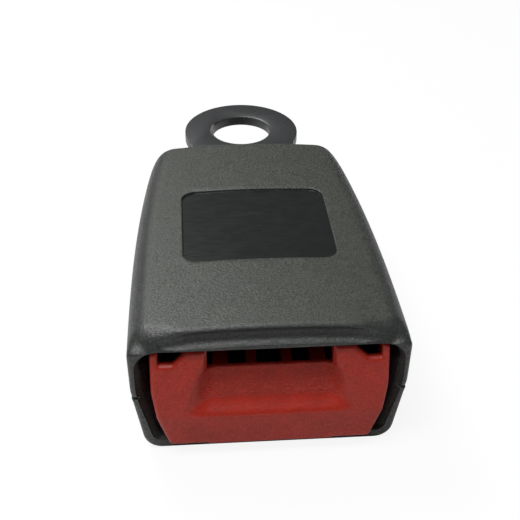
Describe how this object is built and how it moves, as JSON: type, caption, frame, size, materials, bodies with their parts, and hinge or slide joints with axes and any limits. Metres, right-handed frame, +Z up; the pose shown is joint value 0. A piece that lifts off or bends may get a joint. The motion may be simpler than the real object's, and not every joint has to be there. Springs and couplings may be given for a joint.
{
  "type": "seat belt buckle",
  "caption": "End-release seat belt buckle with a moulded casing, a dished red press button, a sprung latch and a steel anchor strap.",
  "frame": {"origin": "centre of the anchor hole, on the underside of the anchor strap", "axes": "+Y runs from the tongue mouth to the anchor, +Z is up through the anchor hole, +X is to the right seen from the mouth"},
  "size_m": [0.0486, 0.098, 0.0264],
  "materials": {
    "casing_plastic": "fine grain, satin field",
    "button_plastic": "fine spark texture",
    "ejector_plastic": "as moulded",
    "frame_steel": "zinc plated, pressed",
    "strap_steel": "satin black coat, worn at the edges",
    "rivet_steel": "set cold",
    "latch_steel": "hardened, oiled",
    "pin_steel": "ground",
    "spring_steel": "drawn wire",
    "screw_steel": "black zinc"
  },
  "bodies": {
    "housing": {"upper_casing": "casing_plastic", "lower_casing": "casing_plastic", "buckle_frame": "frame_steel", "anchor_strap": "strap_steel", "anchor_rivet_left": "rivet_steel", "anchor_rivet_right": "rivet_steel", "latch_pivot_pin": "pin_steel", "pivot_retaining_clip": "spring_steel", "latch_spring": "spring_steel", "button_spring_left": "spring_steel", "button_spring_right": "spring_steel", "ejector_spring": "spring_steel", "casing_screw_front_left": "screw_steel", "casing_screw_front_right": "screw_steel", "casing_screw_rear_left": "screw_steel", "casing_screw_rear_right": "screw_steel"},
    "button": {"press_button": "button_plastic", "release_pin": "pin_steel"},
    "latch": {"latch_plate": "latch_steel"},
    "ejector": {"ejector": "ejector_plastic"}
  },
  "joints": [
    {"name": "button_slide", "type": "slide", "parent": "housing", "child": "button", "axis": [0, 1, 0], "range_m": [0, 0.006], "stiffness_N_per_m": 60, "springref_m": -0.004, "deforming": ["button_spring_left", "button_spring_right"]},
    {"name": "latch_pivot", "type": "hinge", "parent": "housing", "child": "latch", "pos_m": [0, -0.0368, -0.00455], "axis": [1, 0, 0], "range_deg": [0, 6.2], "deforming": ["latch_spring"]},
    {"name": "ejector_slide", "type": "slide", "parent": "housing", "child": "ejector", "axis": [0, 1, 0], "range_m": [0, 0.012], "stiffness_N_per_m": 6, "springref_m": -0.004, "deforming": ["ejector_spring"]}
  ],
  "couplings": [
    {"joint": "latch_pivot", "follows": "button_slide", "rad_per_m": 18.03}
  ]
}
